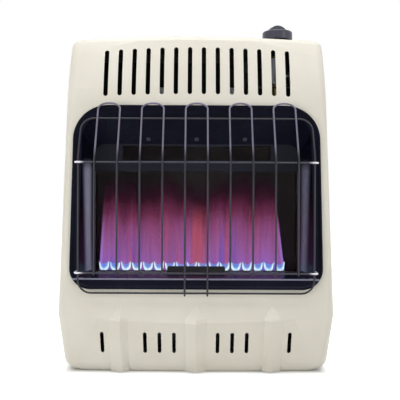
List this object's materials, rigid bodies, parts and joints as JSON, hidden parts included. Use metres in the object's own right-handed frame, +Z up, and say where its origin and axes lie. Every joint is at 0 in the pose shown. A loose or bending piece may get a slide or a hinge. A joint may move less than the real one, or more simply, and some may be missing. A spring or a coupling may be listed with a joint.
{
  "type": "gas space heater",
  "caption": "Wall-hung vent-free gas heater with a burner behind a glass window, a wire guard, louvred cover, top control knob and push igniter.",
  "frame": {"origin": "middle of the bounding box's bottom face: half way across, half way from the wall plane to the front of the guard, at the height of the base", "axes": "+Z up, the heater faces -Y, +X to the right of someone facing it, the wall plane is on +Y"},
  "size_m": [0.468, 0.2514, 0.624],
  "materials": {
    "cream_enamel": "semi-gloss powder coat",
    "zinc_sheet": "zinc plated sheet",
    "dark_enamel": "glossy porcelain enamel",
    "black_steel": "satin heat-proof paint",
    "sooted_steel": "matt heat-darkened steel",
    "burner_steel": "heat-tinted steel",
    "bright_steel": "bright steel",
    "screw_steel": "plated",
    "cast_alloy": "die cast",
    "pipe_aluminium": "drawn",
    "brass": "machined",
    "copper_lead": "drawn copper",
    "guard_wire": "satin dark coating",
    "knob_plastic": "satin",
    "black_plastic": "satin",
    "lead_sleeve": "silicone sleeve",
    "black_rubber": "matt",
    "fibre_tape": "woven glass fibre",
    "white_ceramic": "unglazed",
    "window_glass": "heat-resistant, clear"
  },
  "bodies": {
    "heater": {"front_cover": "cream_enamel", "back_panel": "zinc_sheet", "base_pan": "zinc_sheet", "wall_bracket": "zinc_sheet", "rear_bumpers": "black_rubber", "opening_shroud": "dark_enamel", "window_frame": "dark_enamel", "glass_gasket": "fibre_tape", "window_glass": "window_glass", "glass_clips": "zinc_sheet", "pilot_shield": "black_steel", "outlet_duct": "dark_enamel", "firebox_wrap": "sooted_steel", "firebox_floor": "sooted_steel", "firebox_roof": "sooted_steel", "rear_stays": "zinc_sheet", "top_deflector": "zinc_sheet", "burner_tube": "burner_steel", "burner_end_cap": "burner_steel", "burner_brackets": "zinc_sheet", "venturi": "cast_alloy", "injector": "brass", "injector_bracket": "zinc_sheet", "pilot_bracket": "zinc_sheet", "pilot_burner": "bright_steel", "thermocouple": "bright_steel", "spark_electrode": "white_ceramic", "valve_body": "cast_alloy", "valve_bonnet": "brass", "stem_spring": "bright_steel", "magnet_unit": "brass", "valve_bracket": "zinc_sheet", "igniter_body": "black_plastic", "igniter_nut": "zinc_sheet", "ignition_lead": "lead_sleeve", "regulator_body": "cast_alloy", "regulator_cap": "black_plastic", "regulator_bracket": "zinc_sheet", "inlet_fitting": "brass", "supply_pipe": "pipe_aluminium", "burner_pipe": "pipe_aluminium", "pilot_pipe": "pipe_aluminium", "thermocouple_lead": "copper_lead", "pipe_nuts": "brass", "guard_hoops": "guard_wire", "guard_crossbars": "guard_wire", "guard_frame": "guard_wire", "cover_screws": "screw_steel", "shroud_screws": "screw_steel", "chassis_screws": "screw_steel"},
    "plug": {"valve_plug": "brass"},
    "knob": {"valve_stem": "bright_steel", "control_knob": "knob_plastic"},
    "button": {"igniter_button": "black_plastic"}
  },
  "joints": [
    {"name": "knob_turn", "type": "hinge", "parent": "heater", "child": "plug", "pos_m": [0.152, 0.01565, 0.538], "axis": [0, 0, 1], "range_deg": [0, 180]},
    {"name": "knob_push", "type": "slide", "parent": "plug", "child": "knob", "axis": [0, 0, -1], "range_m": [0, 0.004], "stiffness_N_per_m": 1200, "springref_m": -0.002, "deforming": ["stem_spring"]},
    {"name": "igniter_push", "type": "slide", "parent": "heater", "child": "button", "axis": [0, 0, -1], "range_m": [0, 0.006], "stiffness_N_per_m": 600, "springref_m": -0.003}
  ]
}
